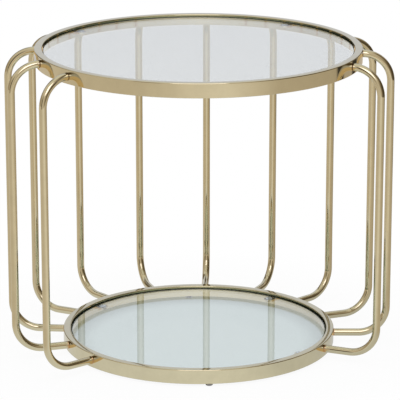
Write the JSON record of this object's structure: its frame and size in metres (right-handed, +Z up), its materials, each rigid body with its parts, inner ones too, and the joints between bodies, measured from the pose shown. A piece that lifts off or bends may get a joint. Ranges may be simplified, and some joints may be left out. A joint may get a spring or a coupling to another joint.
{
  "type": "tiered side table",
  "caption": "Round side table with a glass top over a smaller glass shelf, in plated rings joined by C-bent tubes round the back and sides, open at the front.",
  "frame": {"origin": "on the floor, on the vertical axis that both rings share", "axes": "+Z up, the open front faces -Y, +X to the right of someone who faces the front"},
  "size_m": [0.5118, 0.4703, 0.4095],
  "materials": {
    "plated_frame": "mirror polish, pale gold plating",
    "clear_glass": "polished, clear",
    "clear_pad": "clear, soft",
    "grey_rubber": "matt"
  },
  "bodies": {
    "frame": {"top_ring": "plated_frame", "lower_ring": "plated_frame", "cage_tube_1": "plated_frame", "cage_tube_2": "plated_frame", "cage_tube_3": "plated_frame", "cage_tube_4": "plated_frame", "cage_tube_5": "plated_frame", "cage_tube_6": "plated_frame", "cage_tube_7": "plated_frame", "cage_tube_8": "plated_frame", "cage_tube_9": "plated_frame", "cage_tube_10": "plated_frame", "cage_tube_11": "plated_frame", "cage_tube_12": "plated_frame", "top_tab_1": "plated_frame", "top_tab_2": "plated_frame", "top_tab_3": "plated_frame", "top_tab_4": "plated_frame", "lower_tab_1": "plated_frame", "lower_tab_2": "plated_frame", "lower_tab_3": "plated_frame", "lower_tab_4": "plated_frame", "top_bumper_1": "clear_pad", "top_bumper_2": "clear_pad", "top_bumper_3": "clear_pad", "top_bumper_4": "clear_pad", "lower_bumper_1": "clear_pad", "lower_bumper_2": "clear_pad", "lower_bumper_3": "clear_pad", "lower_bumper_4": "clear_pad", "foot_front": "grey_rubber", "foot_right": "grey_rubber", "foot_back": "grey_rubber", "foot_left": "grey_rubber"},
    "top_pane": {"top_glass": "clear_glass"},
    "lower_pane": {"lower_glass": "clear_glass"}
  },
  "joints": [
    {"name": "top_glass_lift", "type": "slide", "parent": "frame", "child": "top_pane", "axis": [0, 0, 1], "range_m": [0, 0.06]},
    {"name": "lower_glass_lift", "type": "slide", "parent": "frame", "child": "lower_pane", "axis": [0, 0, 1], "range_m": [0, 0.06]}
  ]
}
